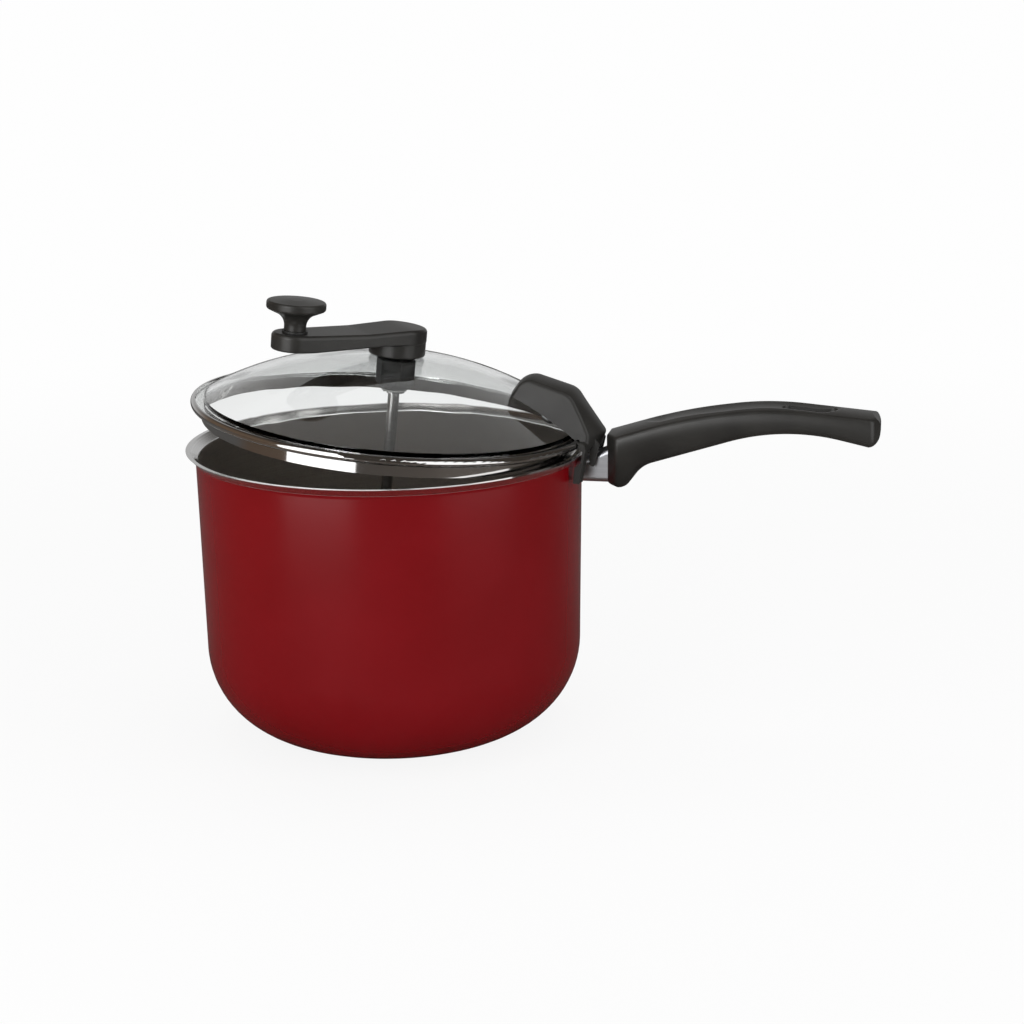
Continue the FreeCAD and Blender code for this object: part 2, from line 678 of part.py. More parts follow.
def make_glass():
    """A pressed dome with a flat rim, bored for the bushing and for the clip's screw."""
    centre = d.dome_top - d.dome_radius
    ball = primitive("Sphere", "dome_outer", frame(0, 0, centre), Radius=d.dome_radius)
    inner = primitive("Sphere", "dome_inner", frame(0, 0, centre), Radius=d.dome_radius - d.glass_thick)
    blank = primitive("Cylinder", "dome_blank", frame(0, 0, d.flange_bottom), Radius=d.dome_edge,
                      Height=d.dome_top - d.flange_bottom + 5)
    cap = boolean("Common", "dome_cap", blank, ball)
    dome = boolean("Cut", "dome_shell", cap, inner)
    rim = primitive("Cylinder", "rim_blank", frame(0, 0, d.flange_bottom), Radius=d.flange_outer,
                    Height=d.flange_top - d.flange_bottom)
    rim_core = primitive("Cylinder", "rim_core", frame(0, 0, d.flange_bottom - 1),
                         Radius=d.dome_edge - 1.6, Height=d.flange_top - d.flange_bottom + 2)
    rim_ring = boolean("Cut", "rim_ring", rim, rim_core)
    whole = doc.addObject("Part::Fuse", "glass_blank")
    whole.Base = dome
    whole.Tool = rim_ring
    bore = primitive("Cylinder", "glass_bore", Radius=d.glass_hole, Height=d.dome_top + 5)
    bored = boolean("Cut", "glass_bored", whole, bore)
    hole = primitive("Cylinder", "glass_screw_hole",
                     frame(d.clip_screw_x, 0, dome_height(d.clip_screw_x), (0, 1, 0), screw_slope)
                     + " * " + frame(0, 0, -8), Radius=d.clip_screw_radius + 1.0, Height=16)
    glass = boolean("Cut", "lid_glass", bored, hole)
    glass.Label = "lid_glass"
    glass.setExpression("Placement", LID)
    return glass


def make_band():
    """Rolled steel band: a bead that hugs the glass's rim, and a skirt that drops into the pot."""
    half, thick = d.band_half, d.band_sheet
    outer, skirt = d.band_radius, d.skirt_radius
    bend, bead = d.band_round - thick, d.band_round
    profile = [
        (d.band_lip, half), (d.band_lip, half - thick), (outer - thick, half - thick, bend),
        (outer - thick, thick - half, bend), (skirt - thick, thick - half), (skirt - thick, d.skirt_bottom),
        (skirt, d.skirt_bottom), (skirt, -half - 0.7), (skirt + 0.7, -half), (outer, -half, bead),
        (outer, half, bead),
    ]
    return turned_part("lid_band", profile, LID)


# ---------------------------------------------------------------------------------------------
# Lid clip
# ---------------------------------------------------------------------------------------------

CLIP_CORNERS = (
    # on the middle line: distance beyond the pot's inner wall, height and what it is measured from,
    # then how far the corner moves out and up by the cheek, and its radius
    (-38.2, -3.6, "glass", 3.6, 1.2, None),
    (-30.7, 12.2, "glass", 1.8, -1.4, 8.0),
    (-3.9, 20.1, "glass", -0.8, -2.0, 10.0),
    (14.0, 5.1, "band", -6.6, 0.0, 2.0),
    (12.5, -1.7, "band", -4.1, 0.0, None),
    (10.9, 0.0, "prong", -4.1, 0.0, None),
    (2.7, 0.0, "prong", 0.0, 0.0, None),
    (2.7, 0.0, "band", 0.0, 0.0, None),
)


def clip_point(beyond, up, base="glass"):
    """A point of the clip in the lid's frame, over the glass, the band's middle or the prongs' tips."""
    x = d.pot_inner_radius + beyond
    return x, {"glass": dome_height(x), "band": size(0), "prong": d.prong_bottom}[base] + up


def make_clip():
    """The moulded clip: a crowned beak over the glass, with a fork that straddles the neck."""
    body = new_body("lid_clip", LID)
    stations = []
    half = d.clip_crown_full * 0.53
    for name, y, share in (("left_end", -d.clip_reach, 1.15), ("left_ridge", -d.clip_crown_full, 1.0),
                           ("left_mid", -half, 0.28), ("middle", size(0), 0.0), ("right_mid", half, 0.28),
                           ("right_ridge", d.clip_crown_full, 1.0), ("right_end", d.clip_reach, 1.15)):
        # the plane's own third axis points to -Y
        sketch = new_sketch(body, "XZ_Plane", name, frame(0, 0, -y))
        corners = []
        for beyond, up, base, out, lift, radius in CLIP_CORNERS:
            x, z = clip_point(beyond, up, base)
            corner = (x + out * share, z + lift * share)
            corners.append(corner if radius is None else corner + (size(radius),))
        draw(sketch, corners)
        stations.append(sketch)
    loft = body.newObject("PartDesign::AdditiveLoft", "clip_loft")
    loft.Profile = stations[0]
    loft.Sections = stations[1:]
    finish_step(body, loft)
    return body


def clip_details(body):
    cheeks = new_sketch(body, "YZ_Plane", "cheeks")
    top, foot = size(40), d.prong_bottom - 4
    flare = (d.cheek_foot - d.cheek_top) / (d.cheek_top_z - d.prong_bottom)
    high = d.cheek_top - flare * (top - d.cheek_top_z)
    ledge, leg = d.clip_ledge, d.clip_leg
    step = d.cheek_top - flare * (ledge - d.cheek_top_z)
    for side in (1, -1):
        draw(cheeks, [(side * high, top), (size(side * 40), top), (size(side * 40), foot),
                      (side * leg, foot), (side * leg, ledge), (side * step, ledge)])
    extrude(body, cheeks, cut=True, middle=True)

    def ridge(edge):
        point, _ = middle_of(edge)
        behind = point.x < d.prong_inner.value + 1 and point.z < 15
        return 9 < abs(point.y) < 19.5 and not behind

    round_edges(body, d.clip_ridge, ridge, "round_ridges")

    clearance = new_sketch(body, "XZ_Plane", "lid_clearance")
    gap = d.clip_clear
    half = d.band_half
    band = d.band_radius + gap
    rim = d.pot_inner_radius + d.pot_wall + d.lip_flare + 1.1
    draw(clearance, [
        (d.clip_screw_x, d.prong_bottom - 3), (d.clip_screw_x, d.flange_top + gap),
        (d.band_lip - 0.6, d.flange_top + gap),
        (d.band_lip, half + gap), (band - 1.6, half + gap), (band, half - 1.2), (band, 1 - half),
        (rim, -half - 0.3), (rim, -half - d.lip_height - 1.2), (d.prong_inner, -half - d.lip_height - 6.3),
        (d.prong_inner - 2, d.prong_bottom - 3)])
    spin(body, clearance, cut=True)

    dome = body.newObject("PartDesign::SubtractiveSphere", "clip_dome_cut")
    dome.setExpression("Radius", (d.dome_radius + gap).text)
    base = ((d.dome_radius - d.dome_top) / (d.dome_radius + gap)).arcsine()
    dome.setExpression("Angle1", base.text)
    dome.Angle2 = 90
    plane = [item for item in body.Origin.OriginFeatures if item.Role == "XY_Plane"][0]
    dome.AttachmentSupport = (plane, [""])
    dome.MapMode = "FlatFace"
    dome.setExpression("AttachmentOffset", frame(0, 0, d.dome_top - d.dome_radius))
    finish_step(body, dome)

    hollow = new_sketch(body, "XZ_Plane", "hollow")
    wall = d.clip_wall
    draw(hollow, [clip_point(-28.8, 5, "band"), clip_point(-26.2, 12.4 - wall) + (size(3),),
                  clip_point(-7.4, 21.6 - wall) + (size(18),), clip_point(8.4, 3.6, "band"),
                  clip_point(8.4, -6, "band"), clip_point(-28.8, -6, "band")])
    extrude(body, hollow, (d.cheek_top - wall) * 2, cut=True, middle=True)

    fork = new_sketch(body, "YZ_Plane", "fork")
    draw(fork, box_corners(-d.prong_gap, d.prong_gap, d.prong_bottom - 2, size(-2.0)))
    extrude(body, fork, cut=True, middle=True)
    behind = new_sketch(body, "XZ_Plane", "behind")
    draw(behind, box_corners(d.pot_inner_radius + 8.7, d.pot_inner_radius + 20, d.prong_bottom - 2,
                             size(-1.2)))
    extrude(body, behind, size(60), cut=True, middle=True)

    tab = new_sketch(body, "XZ_Plane", "tab", frame(0, 0, -d.tab_half))
    draw(tab, [clip_point(7.8, 2.6, "band"), clip_point(10.8, 2.6, "band"), clip_point(12.8, -0.2, "band"),
               clip_point(11.3, -12.1, "band") + (size(0.8),), clip_point(8.7, -11.1, "band") + (size(0.8),),
               clip_point(7.8, -1.8, "band")])
    right = extrude(body, tab, d.tab_half - d.fork_half)
    mirror_feature(body, right)
    return body


# ---------------------------------------------------------------------------------------------
# Bushing, nut and gaskets that carry the shaft in the glass
# ---------------------------------------------------------------------------------------------

def make_bushing():
    bore = d.shaft_radius + d.running_gap
    seat, top = bushing_seat, bushing_seat + d.flange_thick
    turned_part("shaft_bushing", [
        (bore, d.bushing_foot), (d.bushing_radius - 0.6, d.bushing_foot),
        (d.bushing_radius, d.bushing_foot + 0.6), (d.bushing_radius, seat), (d.bushing_flange, seat),
        (d.bushing_flange, top - 0.4),
        (d.bushing_flange - 0.4, top), (bore, top)], LID)
    nut = new_body("bushing_nut", LID)
    flats = new_sketch(nut, "XY_Plane", "flats", frame(0, 0, nut_top - d.nut_height))
    corners = []
    reach = d.nut_flats / math.sqrt(3)
    for i in range(6):
        angle = math.radians(60 * i)
        corners.append((reach * round(math.cos(angle), 12), reach * round(math.sin(angle), 12)))
    draw(flats, corners)
    draw_circle(flats, 0, 0, d.bushing_radius + d.running_gap)
    extrude(nut, flats, d.nut_height)
    ring("upper_gasket", d.glass_hole, d.bushing_flange + 0.2, bushing_seat - d.gasket_thick,
         bushing_seat, LID)
    ring("lower_gasket", d.glass_hole - 0.1, d.nut_flats / 2 + 0.6, nut_top,
         nut_top + d.lower_gasket_thick, LID)


def make_clip_fastening():
    """The screw, washer and pads that clamp the clip to the glass, on the dome's normal."""
    pad, thick = d.clip_pad, d.glass_thick
    radius = d.clip_screw_radius
    ring("clip_pad", radius + 0.3, d.clip_boss + 0.6, 0.08, pad, CLIP_SCREW)
    # inside the dome the pad's edge meets the glass first, and its middle stands clear of it
    edge = size(6.4)
    under = thick + 0.1 + edge * edge / (2 * (d.dome_radius - thick))
    ring("inner_pad", radius + 0.3, edge, -(under + pad), -under, CLIP_SCREW)
    ring("clip_washer", radius + 0.3, edge - 0.4, -(under + pad + 0.9), -(under + pad), CLIP_SCREW)
    make_screw("clip_screw", CLIP_SCREW + " * " + frame(0, 0, -(under + pad + 0.9)), radius, size(3.6),
               size(2.2), under + pad * 2 + 0.9 + 6.0)


def clip_boss(body):
    """The boss inside the clip that its screw bites into; it ends within the clip's wall."""
    seat = frame(d.clip_screw_x, 0, dome_height(d.clip_screw_x), (0, 1, 0), screw_slope)
    boss = new_sketch(body, "XY_Plane", "boss", seat + " * " + frame(0, 0, d.clip_pad))
    draw_circle(boss, 0, 0, d.clip_boss)
    extrude(body, boss, size(13.4))
    hole = new_sketch(body, "XY_Plane", "boss_hole", seat)
    draw_circle(hole, 0, 0, d.clip_screw_radius + d.screw_gap)
    extrude(body, hole, d.clip_pad + 7.5, cut=True, reverse=True)
    return body


# ---------------------------------------------------------------------------------------------
# Crank
# ---------------------------------------------------------------------------------------------

def draw_arm_plan(sketch, hub, end):
    """The arm seen from above: two round ends joined by tangent lines."""
    hub, end, length = size(hub), size(end), d.arm_length
    lean = math.asin((hub.value - end.value) / length.value)
    side = Vector(math.sin(lean), math.cos(lean), 0)
    flip = Vector(side.x, -side.y, 0)
    far = Vector(length.value, 0, 0)
    tip = far + Vector(end.value, 0, 0)
    upper = sketch.addGeometry(Part.LineSegment(far + side * end.value, side * hub.value), False)
    back = sketch.addGeometry(Part.Arc(side * hub.value, Vector(-hub.value, 0, 0), flip * hub.value), False)
    lower = sketch.addGeometry(Part.LineSegment(flip * hub.value, far + flip * end.value), False)
    front = sketch.addGeometry(Part.Arc(far + flip * end.value, tip, far + side * end.value), False)
    for line, start, arc in ((upper, 2, back), (lower, 1, back), (lower, 2, front), (upper, 1, front)):
        here = sketch.getPoint(line, start)
        nearer = min((1, 2), key=lambda point: (sketch.getPoint(arc, point) - here).Length)
        sketch.addConstraint(Sketcher.Constraint("Tangent", line, start, arc, nearer))
    fix_point(sketch, back, 3, size(0), size(0))
    fix_point(sketch, front, 3, length, size(0))
    for arc, radius in ((back, hub), (front, end)):
        index = sketch.addConstraint(Sketcher.Constraint("Radius", arc, radius.value))
        sketch.setExpression(f"Constraints[{index}]", radius.text)


def make_arm():
    body = new_body("crank_arm", CRANK)
    plan = new_sketch(body, "XY_Plane", "plan", frame(0, 0, d.arm_bottom_end - 4))
    draw_arm_plan(plan, d.hub_radius, d.arm_end_radius)
    extrude(body, plan, d.arm_top_hub - d.arm_bottom_end + 8)
    far, near = d.arm_length + 30, -d.hub_radius - 10
    top = new_sketch(body, "XZ_Plane", "top")
    draw(top, [(near, d.arm_top_hub - 1.2), (size(-2), d.arm_top_hub, size(60)),
               (d.hub_radius + 8, d.arm_top_end + 0.3, size(40)),
               (d.arm_length - d.arm_end_radius, d.arm_top_end), (far, d.arm_top_end),
               (far, size(70)), (near, size(70))])
    extrude(body, top, cut=True, middle=True)
    under = new_sketch(body, "XZ_Plane", "under")
    draw(under, [(near, d.arm_bottom_hub), (d.hub_radius, d.arm_bottom_hub, size(40)),
                 (d.arm_length - 6, d.arm_bottom_end, size(60)), (far, d.arm_bottom_end),
                 (far, size(10)), (near, size(10))])
    extrude(body, under, cut=True, middle=True)
    round_edges(body, d.arm_round, arm_edges(True), "round_top")
    round_edges(body, d.arm_round / 2, arm_edges(False), "round_under")
    collar = new_sketch(body, "XY_Plane", "collar", frame(0, 0, d.collar_bottom))
    draw_circle(collar, 0, 0, d.collar_radius)
    extrude(body, collar, d.arm_bottom_hub - d.collar_bottom + 4)
    foot = d.collar_bottom.value + 0.1
    round_edges(body, d.arm_round / 2, lambda e: middle_of(e)[0].z < foot, "round_foot")
    return body


def arm_edges(top):
    """A test for the edges round the arm's top face, or round its underside beyond the hub."""
    def chosen(edge):
        point, rise = middle_of(edge)
        across = abs(point.y) < 1 and -10 < point.x < d.arm_length.value + 5
        halfway = (d.arm_top_end.value + d.arm_bottom_hub.value) / 2
        beyond = top or point.x > d.hub_radius.value - 1
        return not across and rise < 0.9 and (point.z > halfway) == top and beyond

    return chosen


def arm_details(body):
    """Rounds the arm, hollows it from below, and bores it for the bushing, insert and spindle."""
    recess = new_sketch(body, "XZ_Plane", "bushing_recess")
    flange_room = d.bushing_flange + 0.8
    insert = d.shaft_radius + 2.2
    ceiling, top = arm_ceiling, arm_ceiling + 9.0
    draw(recess, [(0, d.collar_bottom - 1), (flange_room, d.collar_bottom - 1), (flange_room, ceiling),
                  (insert, ceiling), (insert, top), (0, top)])
    spin(body, recess, cut=True)
    hollow_arm(body)
    pivot = new_sketch(body, "XY_Plane", "spindle_hole", frame(0, 0, d.arm_bottom_end - 3))
    draw_circle(pivot, d.arm_length, 0, d.spindle_radius + d.running_gap)
    extrude(body, pivot, cut=True, reverse=True)
    head = new_sketch(body, "XY_Plane", "spindle_seat", frame(0, 0, d.arm_bottom_end - 3))
    draw_circle(head, d.arm_length, 0, size(4.9))
    extrude(body, head, size(3 + 2.8), cut=True, reverse=True)
    return body


def hollow_arm(body):
    """Two pockets in the arm's underside, with a rib between them, leave it an even wall."""
    start, end = d.collar_radius + 2.0, d.arm_length - 8.5
    middle = (start + end) / 2
    wall = d.arm_web
    wide = d.hub_radius - wall - 1.5
    narrow = d.arm_end_radius - wall - 0.8
    for name, x0, x1, y0, y1 in (
            ("near_pocket", start, middle - d.arm_rib / 2, wide, (wide + narrow) / 2),
            ("far_pocket", middle + d.arm_rib / 2, end, (wide + narrow) / 2, narrow)):
        pocket = new_sketch(body, "XY_Plane", name, frame(0, 0, d.arm_bottom_end - 3))
        round_in = size(1.5)
        draw(pocket, [(x0, -y0, round_in), (x1, -y1, round_in), (x1, y1, round_in), (x0, y0, round_in)])
        extrude(body, pocket, d.arm_top_end - d.arm_bottom_end + 3 - wall, cut=True, reverse=True)


def make_shaft():
    """Insert, shaft, washers and retaining clip: everything that turns in the bushing."""
    ceiling = arm_ceiling
    top = ceiling + 8.6
    floor = d.pot_base - closed_height
    hub_bottom = floor + d.stirrer_floor_gap
    groove = d.bushing_foot - 2.1
    insert = d.shaft_radius + 2.2
    ring("hub_insert", d.shaft_radius + 0.02, insert - 0.02, ceiling + 0.2, top + 0.2, CRANK)
    shaft = turned_part("drive_shaft", [
        (0, hub_bottom + 0.4), (d.shaft_radius - 0.5, hub_bottom + 0.4), (d.shaft_radius, hub_bottom + 0.9),
        (d.shaft_radius, groove), (d.shaft_radius - 0.6, groove), (d.shaft_radius - 0.6, groove + 0.9),
        (d.shaft_radius, groove + 0.9), (d.shaft_radius, top), (0, top)], CRANK)
    hole = new_sketch(shaft, "YZ_Plane", "wire_hole")
    draw_circle(hole, 0, hub_bottom + d.wire_height, d.wire_radius + 0.03)
    extrude(shaft, hole, size(30), cut=True, middle=True)
    ring("thrust_washer", d.shaft_radius + 0.1, size(9.0), ceiling - d.wear_washer_thick - 0.05,
         ceiling - 0.05, CRANK)
    ring("wear_washer", d.shaft_radius + 0.1, size(6.6), groove + 1.1, d.bushing_foot - 0.1, CRANK)
    clip = new_body("retaining_clip", CRANK)
    face = new_sketch(clip, "XY_Plane", "face", frame(0, 0, groove + 0.05))
    draw_circle(face, 0, 0, size(5.6))
    draw_circle(face, 0, 0, d.shaft_radius - 0.55)
    extrude(clip, face, size(0.8))
    mouth = new_sketch(clip, "XY_Plane", "mouth", frame(0, 0, groove - 1))
    draw(mouth, box_corners(size(0), size(9), size(-1.7), size(1.7)))
    extrude(clip, mouth, size(4), cut=True, reverse=True)


def make_stirrer():
    floor = d.pot_base - closed_height
    bottom = floor + d.stirrer_floor_gap
    top = bottom + d.stirrer_hub_height
    low = bottom + d.wire_radius
    cross = bottom + d.wire_height
    hub = turned_part("stirrer_hub", [
        (d.shaft_radius + 0.02, bottom + 0.2), (d.stirrer_hub - 1, bottom + 0.2),
        (d.stirrer_hub, bottom + 1.2), (d.stirrer_hub, top - 1), (d.stirrer_hub - 1, top),
        (d.shaft_radius + 0.02, top)], CRANK)
    hole = new_sketch(hub, "YZ_Plane", "wire_hole")
    draw_circle(hole, 0, cross, d.wire_radius + 0.03)
    extrude(hub, hole, size(30), cut=True, middle=True)
    return hub, low, cross


def make_wire(low, cross):
    """One bent steel wire: through the hub, down to the pot's floor, out, and up at its tips."""
    wire = new_body("stirrer_wire", CRANK)
    reach = d.stirrer_reach
    path = new_sketch(wire, "XZ_Plane", "path")
    draw(path, [(0, cross), (size(10.5), cross, size(4)), (size(16.0), low, size(4)),
                (reach, low, size(9)), (reach + 5.5, low + 13)], closed=False)
    start = new_sketch(wire, "YZ_Plane", "section")
    draw_circle(start, 0, cross, d.wire_radius)
    pipe = wire.newObject("PartDesign::AdditivePipe", "wire_pipe")
    pipe.Profile = start
    pipe.Spine = (path, [f"Edge{i}" for i in range(1, 8)])
    finish_step(wire, pipe)
    mirror_feature(wire, pipe, "YZ_Plane")
    return wire


# ---------------------------------------------------------------------------------------------
# Knob
# ---------------------------------------------------------------------------------------------

def make_knob():
    foot = d.arm_top_end + d.knob_washer_thick + 0.15
    neck, under, top = d.knob_neck, d.knob_under, d.knob_top
    core = d.spindle_radius + 1.7
    turned_part("crank_knob", [
        (d.spindle_radius + 0.1, foot), (neck, foot), (neck, under - 4.2, size(7)),
        (d.knob_radius, under, size(1.4)), (d.knob_radius, top - 0.4, size(1.3)), (size(4), top + 0.4),
        (0, top + 0.4), (0, top - 5.0), (core, top - 5.0),
        (core, foot + 3.0), (d.spindle_radius + 0.1, foot + 3.0)], KNOB)
    ring("knob_insert", d.spindle_radius + 0.02, core - 0.02, foot + 3.2, top - 5.2, KNOB)
    head_top = d.arm_bottom_end + 2.7
    spindle = turned_part("knob_spindle", [
        (0, head_top - 2.2), (size(4.4), head_top - 2.2, size(0.8)), (size(4.4), head_top),
        (d.spindle_radius, head_top), (d.spindle_radius, top - 5.9), (d.spindle_radius - 0.6, top - 5.3),
        (0, top - 5.3)], KNOB)
    slot = new_sketch(spindle, "XZ_Plane", "slot")
    draw(slot, box_corners(size(-0.5), size(0.5), head_top - 3.2, head_top - 1.2))
    extrude(spindle, slot, size(12), cut=True, middle=True)
    ring("knob_washer", d.spindle_radius + 0.1, neck + 0.9, d.arm_top_end + 0.05,
         d.arm_top_end + 0.05 + d.knob_washer_thick, KNOB)


# ---------------------------------------------------------------------------------------------
# Build, check and write
# ---------------------------------------------------------------------------------------------

NODES = [
    "pot_body", "handle_stud", "flame_guard", "handle", "handle_screw", "lock_washer",
    "lid_glass", "lid_band", "lid_clip", "clip_screw", "clip_washer", "clip_pad", "inner_pad",
    "shaft_bushing", "bushing_nut", "upper_gasket", "lower_gasket",
    "crank_arm", "hub_insert", "drive_shaft", "thrust_washer", "wear_washer", "retaining_clip",
    "stirrer_hub", "stirrer_wire",
    "crank_knob", "knob_insert", "knob_spindle", "knob_washer",
]


def build():
    fill_sheet()
    make_pot()
    make_stud()
    make_guard()
    handle_details(make_handle())
    make_handle_screw()
    make_glass()
    make_band()
    clip_boss(clip_details(make_clip()))
    make_clip_fastening()
    make_bushing()
    arm_details(make_arm())
    make_shaft()
    hub, low, cross = make_stirrer()
    make_wire(low, cross)
    make_knob()
    doc.recompute()


def write():
    """Checks every object and every sub-part, then writes one file for each sub-part."""
    for item in doc.Objects:
        if "Invalid" in item.State or "Error" in item.State:
            raise RuntimeError(f"{item.Label} is in state {item.State}")
    os.makedirs("parts", exist_ok=True)
    shapes = {}
    for label in NODES:
        shape = doc.getObjectsByLabel(label)[0].Shape
        if shape.isNull() or not shape.isValid():
            raise RuntimeError(f"{label} has no valid shape")
        shapes[label] = shape
    for label, shape in shapes.items():
        shape.exportStep(f"parts/{label}.step")
        box = shape.BoundBox
        print(f"{label:16s} {len(shape.Solids)} solid  {shape.Volume:10.1f} mm3  "
              f"x {box.XMin:7.1f} {box.XMax:7.1f}  y {box.YMin:7.1f} {box.YMax:7.1f}  "
              f"z {box.ZMin:7.1f} {box.ZMax:7.1f}")


build()
write()
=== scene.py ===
import bmesh
import bpy
import math
from mathutils import Matrix, Vector

# A stovetop popcorn popper: a lacquered aluminium pot with a moulded handle, a glass lid ajar on
# its rim, and a crank through the lid that turns a wire stirrer.
# Sizes are in metres, +Z is up, and the origin lies under the middle of the pot.

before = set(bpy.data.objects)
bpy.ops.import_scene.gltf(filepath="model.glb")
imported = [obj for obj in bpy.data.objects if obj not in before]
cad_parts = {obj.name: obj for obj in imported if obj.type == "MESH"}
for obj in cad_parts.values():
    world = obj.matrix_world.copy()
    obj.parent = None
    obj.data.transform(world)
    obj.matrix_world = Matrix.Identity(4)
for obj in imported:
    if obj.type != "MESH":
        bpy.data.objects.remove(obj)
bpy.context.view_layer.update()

# ---------------------------------------------------------------------------------------------
# Camera
# A long lens a metre away, a little above the rim and slightly right of square to the handle.
# Its turns are in degrees, from a level view along +Y.
# ---------------------------------------------------------------------------------------------

camera_place = (0.27771, -0.99714, 0.38803)
camera_left, camera_down, camera_roll = 12, 14.78, -0.72

camera = bpy.data.objects.new("camera", bpy.data.cameras.new("camera"))
bpy.context.collection.objects.link(camera)
camera.data.sensor_width = 36
camera.data.lens = 70.31
camera.data.clip_start = 0.05
camera.data.clip_end = 50
camera.matrix_world = (
    Matrix.Translation(camera_place)
    @ Matrix.Rotation(math.radians(camera_left), 4, "Z")
    @ Matrix.Rotation(math.radians(90 - camera_down), 4, "X")
    @ Matrix.Rotation(math.radians(camera_roll), 4, "Z")
)
bpy.context.scene.camera = camera
bpy.context.scene.view_settings.view_transform = "Standard"

# ---------------------------------------------------------------------------------------------
# Studio
# A pale sweep that runs out to white behind the popper, and a dark room in front of it. Two tall
# softboxes draw the bands on the pot's wall, with a fill far in front and a soft light overhead.
# ---------------------------------------------------------------------------------------------

room_white = (0.99, 0.99, 0.99)
room_light = (0.45, 0.45, 0.45)
room_dark = (0.045, 0.038, 0.032)
room_brown = (0.13, 0.09, 0.062)
room_pale = (0.5, 0.5, 0.5)
floor_color = (0.8, 0.8, 0.8)
floor_dark = (0.09, 0.077, 0.067)
floor_brown = (0.15, 0.105, 0.075)
floor_pale = (0.14, 0.135, 0.13)
floor_reach = 8
near_glow, far_glow = 0.9, 1.0
past_popper = (-0.27, 0.963, 0.0)  # the level way from the camera past the popper


def feed(tree, socket, value):
    """Link another socket into a socket, or set a constant on it."""
    if isinstance(value, bpy.types.NodeSocket):
        tree.links.new(value, socket)
    elif socket.type == "RGBA":
        socket.default_value = (*value, 1)
    else:
        socket.default_value = value


def add_node(tree, kind, inputs=None, **settings):
    """Add a shader node, set its properties and feed its inputs."""
    node = tree.nodes.new("ShaderNode" + kind)
    for name, value in settings.items():
        setattr(node, name, value)
    for key, value in (inputs or {}).items():
        feed(tree, node.inputs[key], value)
    return node


def math_node(tree, operation, *terms):
    """The result of a Math node; its terms are sockets or numbers."""
    return add_node(tree, "Math", dict(enumerate(terms)), operation=operation).outputs[0]


def vector_node(tree, operation, *terms):
    """The result of a Vector Math node; its terms are sockets or vectors."""
    node = add_node(tree, "VectorMath", dict(enumerate(terms)), operation=operation)
    return node.outputs["Value" if operation in ("DOT_PRODUCT", "LENGTH") else "Vector"]


def axes(tree, vector):
    """The X, Y and Z of a vector."""
    return tuple(add_node(tree, "SeparateXYZ", {0: vector}).outputs)


def ramp(tree, value, low, high):
    """A smooth mask from 0 at low to 1 at high."""
    ends = {"Value": value, "From Min": low, "From Max": high}
    return add_node(tree, "MapRange", ends, interpolation_type="SMOOTHSTEP").outputs["Result"]


def falling_ramp(tree, value, high, low):
    """A smooth mask from 0 at high to 1 at low."""
    return ramp(tree, math_node(tree, "MULTIPLY", value, -1.0), -high, -low)


def blend_colors(tree, mask, low, high):
    """The colour low where the mask is 0, passing to high where it is 1."""
    # inputs 6 and 7 and output 2 are the Mix node's colours
    return add_node(tree, "Mix", {0: mask, 6: low, 7: high}, data_type="RGBA").outputs[2]


def ray_masks(tree):
    """Masks of what is seen, directly or through the glass, and of what is mirrored."""
    rays = add_node(tree, "LightPath").outputs
    seen = math_node(tree, "MAXIMUM", rays["Is Camera Ray"], rays["Is Transmission Ray"])
    return seen, rays["Is Glossy Ray"]


def softbox(name, place, aim, wide, tall, watts):
    """Hang a rectangular light and turn it to its aim."""
    lamp = bpy.data.lights.new(name, "AREA")
    lamp.shape = "RECTANGLE"
    lamp.size = wide
    lamp.size_y = tall
    lamp.energy = watts
    light = bpy.data.objects.new(name, lamp)
    bpy.context.collection.objects.link(light)
    light.location = place
    light.rotation_euler = (Vector(aim) - Vector(place)).to_track_quat("-Z", "Y").to_euler()
    light.visible_camera = False
    return light


softbox("left_softbox", place=(-0.24, -0.53, 0.71), aim=(0, 0, 0.71),
        wide=0.42, tall=1.4, watts=3.2)
softbox("right_softbox", place=(0.61, -0.29, 0.71), aim=(0, 0, 0.71),
        wide=0.52, tall=1.4, watts=3.0)
softbox("front_light", place=(-0.62, -2.9, 0.8), aim=(0.2, 0, 0.15),
        wide=1.1, tall=0.8, watts=15)
# The light overhead is kept out of the glass, where it would lie as a pale patch on the dome.
top_light = softbox("top_light", place=(0.05, 0.35, 1.5), aim=(0.05, 0, 0),
                    wide=1.6, tall=0.8, watts=8)
top_light.visible_glossy = False
top_light.visible_transmission = False

# Seen directly or through the glass the room is white. What shines in the popper is pale behind it,
# brown to its left and dark elsewhere, and the light that falls on it from the room is even.
room = bpy.data.worlds.new("room")
bpy.context.scene.world = room
room.use_nodes = True
tree = room.node_tree
seen, mirrored = ray_masks(tree)
way = add_node(tree, "TexCoord").outputs["Generated"]
way_x, _, way_z = axes(tree, way)
behind = ramp(tree, vector_node(tree, "DOT_PRODUCT", way, past_popper), low=0.5, high=0.95)
overhead = ramp(tree, way_z, low=0.18, high=0.6)
leftward = falling_ramp(tree, way_x, high=-0.3, low=-0.9)
low_behind = math_node(tree, "MULTIPLY", behind, math_node(tree, "SUBTRACT", 1.0, overhead))
reflected = blend_colors(tree, leftward, room_dark, room_brown)
reflected = blend_colors(tree, low_behind, reflected, room_pale)
lit = blend_colors(tree, mirrored, room_light, reflected)
feed(tree, tree.nodes["Background"].inputs["Color"], blend_colors(tree, seen, lit, room_white))

bm = bmesh.new()
bmesh.ops.create_grid(bm, x_segments=1, y_segments=1, size=floor_reach)
floor_mesh = bpy.data.meshes.new("floor")
bm.to_mesh(floor_mesh)
bm.free()
floor = bpy.data.objects.new("floor", floor_mesh)
bpy.context.collection.objects.link(floor)

